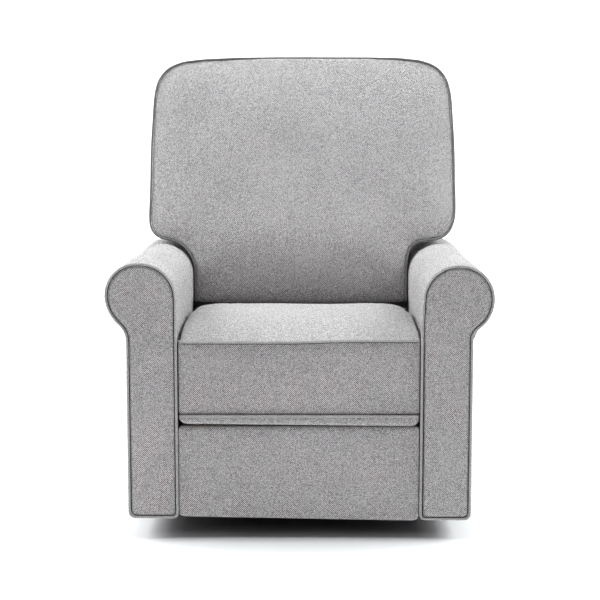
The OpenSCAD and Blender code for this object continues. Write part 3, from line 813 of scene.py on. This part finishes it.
def make_band():
    """The narrow padded band under the seat front, with turned-up lower corners, a lower edge
    that slants and a fold along its top."""
    left, right, low, high = -0.2698, 0.2674, BAND_LOW.z, BAND_HIGH.z - 0.0022
    crown, slant = 0.0048, 0.0024
    edge = rounded_box(left, right, low, high, 0.017, 0.0025)
    band = prism("seat_front_band_soft", edge, BAND_LOW.y + 0.001, BAND_HIGH.y, CLOTH)
    remesh(band, 0.0035)
    relax(band, 2)
    co = points_of(band)
    d = distance_to_line(co[:, [0, 2]], edge)
    front = smooth((BAND_LOW.y + 0.010 - co[:, 1]) / 0.006)
    puff = crown * np.clip(1 - (1 - np.clip(d / 0.010, 0, 1)) ** 2, 0, 1)
    co[:, 1] -= front * (puff + ripple(co, 0.05, 0.0009, 2.0))
    co[:, 2] -= (1 - smooth((co[:, 2] - low) / 0.020)) * slant * (0.4 + co[:, 0] / right)
    square_ends(co, left, right, BAND_LOW.y + 0.001, 0.0025)
    set_points(band, co)
    refine(band)
    finish_soft(band, "chair_body", ["seat_front_band"])
    y, z = BAND_LOW.y - 0.0040, high - 0.0026
    line = [(x, y + tucked_end(x, 0.004), z)
            for x in np.linspace(left + 0.002, right - 0.002, 160)]
    welt("seat_front_band_fold", line, "chair_body", 0.0026, closed=False)


def make_footrest():
    """The padded panel of the leg rest, with soft rolled edges, a slanting hem and no welt."""
    left, right, front_y = -0.2712, 0.2676, REST_LOW.y + 0.0025
    edge_roll, crown_height, hem_drop, hem_slant = 0.0045, 0.0035, 0.0092, 0.0048
    edge = rounded_box(left, right, REST_LOW.z + 0.0010, REST_HIGH.z, 0.012, 0.006)
    panel = prism("footrest_panel_soft", edge, front_y, REST_HIGH.y - 0.0003, CLOTH)
    remesh(panel, 0.005)
    relax(panel, 2)
    co = points_of(panel)
    square_ends(co, left, right, front_y)
    d = distance_to_line(co[:, [0, 2]], edge)
    ends = np.minimum(co[:, 2] - REST_LOW.z, REST_HIGH.z - co[:, 2])
    front = smooth((REST_LOW.y + 0.014 - co[:, 1]) / 0.010)
    roll = edge_roll * (1 - np.clip(ends / 0.012, 0, 1)) ** 2
    crown = crown_height * smooth(d / 0.10)
    co[:, 1] += front * (roll - crown + ripple(co, 0.09, 0.0012, 7.0))
    hem = smooth((0.130 - co[:, 2]) / 0.078)
    co[:, 2] -= hem * (hem_drop + hem_slant * co[:, 0] / right)
    set_points(panel, co)
    held = smooth((co[:, 1] - (REST_HIGH.y - 0.008)) / 0.004)
    for x in (left, right):
        held = held + near(co, [(x, front_y, 0.05), (x, front_y, 0.26)], 0.01)
    inflate(panel, np.clip(held, 0, 1), 0.003, pressure=3.0)
    relax(panel, 1)
    refine(panel)
    finish_soft(panel, "footrest", ["footrest_pad"])


def make_rear_panel():
    """The fixed lower back between the arms, sloping in under the reclining back."""
    y1, top = REAR_HIGH.y, REAR_HIGH.z
    thick, slope_y = 0.018, y1 - 0.026
    side_view = [(y1 - thick, HEM_Z), (y1, HEM_Z), (y1, top), (y1 - 0.004, top),
                 (slope_y, top - 0.022), (slope_y, top - 0.034), (y1 - thick, top - 0.044)]
    half = REAR_HIGH.x
    panel = prism("rear_panel_soft", side_view, -half, half, CLOTH)
    set_points(panel, points_of(panel)[:, [1, 0, 2]])
    remesh(panel, 0.005)
    relax(panel, 3)
    co = points_of(panel)
    across = np.sin(math.pi * np.clip((co[:, 0] + half) / (2 * half), 0, 1)) ** 0.5
    up = np.sin(math.pi * np.clip((co[:, 2] - HEM_Z) / (top - HEM_Z), 0, 1))
    outside = co[:, 1] > y1 - 0.008
    co[:, 1] += np.where(outside, 0.003 * across * up + ripple(co, 0.12, 0.0012, 11.0), 0)
    set_points(panel, co)
    refine(panel)
    finish_soft(panel, "chair_body", ["rear_panel"])


# Half outline of the back cushion's front seam: (x, z) up its foot and neck, which differ
# from side to side, then round its ear
BACK_NECK = {-1: [(0.2600, 0.4550), (0.2660, 0.4600), (0.2665, 0.5520), (0.2690, 0.5670),
                  (0.2760, 0.5840), (0.2860, 0.5990), (0.2990, 0.6110), (0.3140, 0.6195)],
             1: [(0.2600, 0.4550), (0.2660, 0.4600), (0.2665, 0.5620), (0.2680, 0.5770),
                 (0.2705, 0.5920), (0.2745, 0.6050), (0.2830, 0.6150), (0.3000, 0.6205)]}
BACK_EAR = [(0.3290, 0.6240), (0.3450, 0.6255), (0.3600, 0.6300), (0.3715, 0.6380),
            (0.3795, 0.6490), (0.3835, 0.6620), (0.3845, 0.6850), (0.3840, 0.7200),
            (0.3835, 0.7720), (0.3840, 0.8300), (0.3830, 0.8800), (0.3805, 0.9300),
            (0.3785, 0.9730), (0.3750, 1.0000), (0.3680, 1.0240), (0.3520, 1.0465),
            (0.3320, 1.0600), (0.3020, 1.0700), (0.2500, 1.0755), (0.1700, 1.0790),
            (0.0800, 1.0805)]


def back_edge(grow=0.0):
    """The whole outline of the back cushion, grown outward by a distance."""
    right = [(x * (1 + 0.022 * float(smooth((z - 0.64) / 0.06))),
              z + 0.0030 * float(smooth((x - 0.1) / 0.15) * smooth((z - 1.0) / 0.05)))
             for x, z in BACK_NECK[1] + BACK_EAR]
    left = [(-x, z) for x, z in reversed(BACK_NECK[-1] + BACK_EAR)]
    p = even_spacing(right + [(0.0, 1.0808)] + left, 0.006)
    for _ in range(3):
        p = (np.roll(p, 1, 0) + 2 * p + np.roll(p, -1, 0)) / 4
    t = np.roll(p, -1, 0) - np.roll(p, 1, 0)
    out = np.stack([t[:, 1], -t[:, 0]], 1) / np.linalg.norm(t, axis=1)[:, None]
    return [tuple(q) for q in p + grow * out]


def cad_surface(node, direction):
    """A function that gives y where a line along Y first meets a CAD node at (x, z)."""
    mesh = frame["nodes"][node].data
    tree = BVHTree.FromPolygons([v.co.copy() for v in mesh.vertices],
                                [tuple(p.vertices) for p in mesh.polygons])

    def find(x, z):
        hit = tree.ray_cast(Vector((x, -2.0 * direction, z)), Vector((0, direction, 0)))[0]
        return None if hit is None else hit.y
    return find


def back_surfaces():
    """Heights, and the front and rear of the CAD back cushion at each height."""
    front, rear = cad_surface("back_cushion", 1), cad_surface("back_cushion", -1)
    zs = np.arange(BACK_LOW.z + 0.002, BACK_HIGH.z - 0.001, 0.006)
    f = np.array([front(0.01, z) for z in zs])
    b = np.array([rear(0.01, z) for z in zs])
    return zs, f, b


def make_back():
    """The T-shaped back cushion: a crowned front that swells over the seat, ears over the arms,
    boxed sides, a welt round its front seam in a darker cloth of painted shade, and a black roll
    under its foot whose black is painted shade in the crease."""
    bend_z, half = 0.95, 0.09           # where the front turns over the top; half the block
    edge = back_edge()
    zs, f, b = back_surfaces()
    straight = f.copy()
    high = zs > bend_z
    k = np.argmin(np.abs(zs - bend_z))
    straight[high] = f[k] + (zs[high] - zs[k]) * math.tan(LEAN)

    def seam_y(p):
        z = p[:, 1]
        return np.maximum(np.interp(z, zs, f) + 0.004, np.interp(z, zs, straight) + 0.030)

    cushion = prism("back_cushion_soft", edge, -half, half, BACK_CLOTH_PAINTED_SHADE)
    remesh(cushion, 0.006)
    relax(cushion, 1)
    co = points_of(cushion)
    d = even_distance(co[:, [0, 2]], edge)
    z = co[:, 2]
    drop = 1 - np.clip(d / 0.070, 0, 1)
    face = np.maximum(np.interp(z, zs, f) + 0.004,
                      np.interp(z, zs, straight) + 0.012 + 0.018 * drop ** 2)
    rear = np.interp(z, zs, b) - 0.002 - 0.006 * drop
    s = np.clip((co[:, 1] + half) / (2 * half), 0, 1)
    co[:, 1] = face + (rear - face) * s
    seam = [(x, y, z) for (x, z), y in zip(edge, seam_y(np.array(edge)))]
    held = np.clip(near(co, seam, 0.014) + smooth((s - 0.80) / 0.15), 0, 1)
    set_points(cushion, co)
    front, front_puff, side_puff = s < 0.15, 0.013, 0.006
    inflate(cushion, held, np.where(front, front_puff, side_puff), pressure=4.5)
    relax(cushion, 3)
    soften(cushion, smooth((d - 0.015) / 0.030) * front, 40)
    co = points_of(cushion)
    co[:, 1] += np.where(front, ripple(co, 0.16, 0.004, 13.0) * (1 - drop ** 2), 0)
    set_points(cushion, co)
    refine(cushion)
    finish_soft(cushion, "backrest", ["back_cushion"])
    line = np.array(back_edge(0.0008))
    path = [(x, y - 0.0005, z) for (x, z), y in zip(line, seam_y(line))]
    # the back's welt is in the darker cloth: painted shade along the cushion's edge
    welt("back_welt", path, "backrest", 0.0026,
         material=WELT_PAINTED_SHADE_CLOTH)
    # painted shade: a black roll under the back's foot, so the crease reads dark
    line = even_spacing([(x, 0.104, 0.4590) for x in (-0.2705, 0.2705)], 0.01, closed=False)
    foot = tube("back_foot_shade_roll", line, 0.0120, PAINTED_SHADE_LINING, closed=False, sides=16)
    finish_soft(foot, "backrest", [])


def leaned(points):
    """Points drawn as (x, depth, height) on an upright back, moved to the leaning back."""
    p = np.array(points, float)
    y = BACK_FOOT[0] + p[:, 1] * math.cos(LEAN) + p[:, 2] * math.sin(LEAN)
    z = BACK_FOOT[1] - p[:, 1] * math.sin(LEAN) + p[:, 2] * math.cos(LEAN)
    return np.stack([p[:, 0], y, z], 1)


SHELL_FRONT, SHELL_REAR = 0.0302, 0.0555    # depths of the outside back's two faces
SHELL_TOP = 0.790                       # height of its top, up the lean
RIM_FOOT = (0.276, 0.3525)              # x and height where the rim behind an ear starts


def shell_outline(inset):
    """Outline of the outside back as (x, height) points, from one foot round to the other."""
    w, neck, corner = 0.382 - inset, 0.266 - inset, 0.046
    top = SHELL_TOP - 0.001 - inset
    half = [(neck, 0.052 + inset), (neck, 0.350 + inset)]
    half += arc((w - 0.022, 0.372 + inset), 0.022, 270, 360, 5)
    half += [(w, 0.59)]
    half += arc((w - 0.008 - corner, top - 0.016 - corner), corner, 0, 80, 8)
    half += [(0.150, top - 0.003)]
    return half + [(0.0, top)] + [(-x, z) for x, z in reversed(half)]


def make_back_shell():
    """The outside back: a padded panel with a foot tongue, and its welt."""
    edge = [tuple(p) for p in even_spacing(shell_outline(0.003), 0.006)]
    panel = prism("outside_back_panel", edge, SHELL_FRONT, SHELL_REAR - 0.004, CLOTH)
    remesh(panel, 0.006)
    relax(panel, 2)
    co = points_of(panel)
    d = distance_to_line(co[:, [0, 2]], edge)
    outside = smooth((co[:, 1] - 0.040) / 0.008)
    crown, tuck = 0.004 * smooth(d / 0.06), 0.003 * (1 - smooth(d / 0.008))
    co[:, 1] += outside * (crown - tuck + ripple(co, 0.16, 0.0014, 21.0))
    set_points(panel, leaned(co))
    refine(panel)
    finish_soft(panel, "backrest", ["back_shell"])
    line = shell_outline(WELT_R - 0.001)
    path = leaned([(x, SHELL_REAR - 0.003, z) for x, z in line])
    welt("outside_back_welt", path, "backrest")


def make_back_rim():
    """A padded border between the outside back and the cushion, from ear to ear over the top."""
    outer = [p for p in shell_outline(0.001) if p[1] > 0.345 and abs(p[0]) > 0.2665
             or p[1] > 0.5]
    rim_out = [RIM_FOOT] + outer[1:-1] + [(-RIM_FOOT[0], RIM_FOOT[1])]
    rim_out = even_spacing(rim_out, 0.008, closed=False)
    t = np.gradient(rim_out, axis=0)
    inward = np.stack([-t[:, 1], t[:, 0]], 1) / np.linalg.norm(t, axis=1)[:, None]
    rim_in = rim_out + inward * 0.015
    verts, faces = [], []
    front, rear = 0.001, SHELL_FRONT - 0.0003
    for o, i in zip(rim_out, rim_in):
        mid = (o * 0.9 + i * 0.1)
        verts += [(o[0], 0.026, o[1]), (o[0], 0.006, o[1]), (mid[0], front, mid[1]),
                  (i[0], front, i[1]), (i[0], rear, i[1]), (o[0], rear, o[1])]
    n, corners = len(rim_out), 6
    for a in range(0, (n - 1) * corners, corners):
        for k in range(corners):
            m = (k + 1) % corners
            faces.append((a + k, a + m, a + corners + m, a + corners + k))
    faces += [tuple(range(corners)), tuple((n - 1) * corners + k for k in range(corners))]
    rim = mesh_object("outside_back_rim", leaned(verts), faces, CLOTH)
    refine(rim)
    finish_soft(rim, "backrest", [])


def box_corners(xs, ys, zs):
    """The eight corners of a box between two values on each axis."""
    return [(x, y, z) for x in xs for y in ys for z in zs]


def make_linings():
    """Cloth tacked over the back frame, which its gaps would show: covers on the neck's sides, and
    black sheets of painted shade on its sides, front and top and one behind the seat."""
    edge_x, lining_x, front, rear = 0.2604, 0.2612, -0.0016, 0.0290
    for name, side in (("left", -1), ("right", 1)):
        xs = (side * edge_x, side * 0.2650)
        sheet("back_neck_cover_" + name, leaned(box_corners(xs, (0.001, 0.0298), (0.070, 0.3515))),
              "backrest", CLOTH)
        # black sheets of painted shade on the sides of the back frame
        xs = (side * edge_x, side * lining_x)
        sheet("back_side_shade_lining_" + name, leaned(box_corners(xs, (front, rear), (0.3525, 0.7568))),
              "backrest", PAINTED_SHADE_LINING)
    # black sheets of painted shade over the front of the back frame
    stile_in, stile_out = 0.2306, 0.2598
    for name, xs, zs in (("sheet", (-stile_out, stile_out), (0.100, 0.756)),
                         ("strip_left", (-stile_out, -stile_in), (0.020, 0.0999)),
                         ("strip_right", (stile_in, stile_out), (0.020, 0.0999))):
        sheet("back_shade_lining_" + name, leaned(box_corners(xs, (front, -0.0004), zs)), "backrest",
              PAINTED_SHADE_LINING)
    sheet("back_top_shade_lining",
          leaned(box_corners((-lining_x, lining_x), (front, rear), (0.7574, 0.7582))),
          "backrest", PAINTED_SHADE_LINING)
    # a black sheet of painted shade behind the seat
    sheet("seat_rear_shade_lining", box_corners((-0.262, 0.262), (0.1503, 0.1513), (0.258, 0.2868)),
          "chair_body", PAINTED_SHADE_LINING)


def build():
    """The whole chair: the CAD nodes in their materials, and the upholstery over them."""
    dress_cad_nodes()
    for side in (-1, 1):
        make_arm_facing(side)
        make_arm_cover(side)
    make_seat()
    make_band()
    make_footrest()
    make_rear_panel()
    make_back()
    make_back_shell()
    make_back_rim()
    make_linings()


make_stage()
make_light()
make_camera()
build()
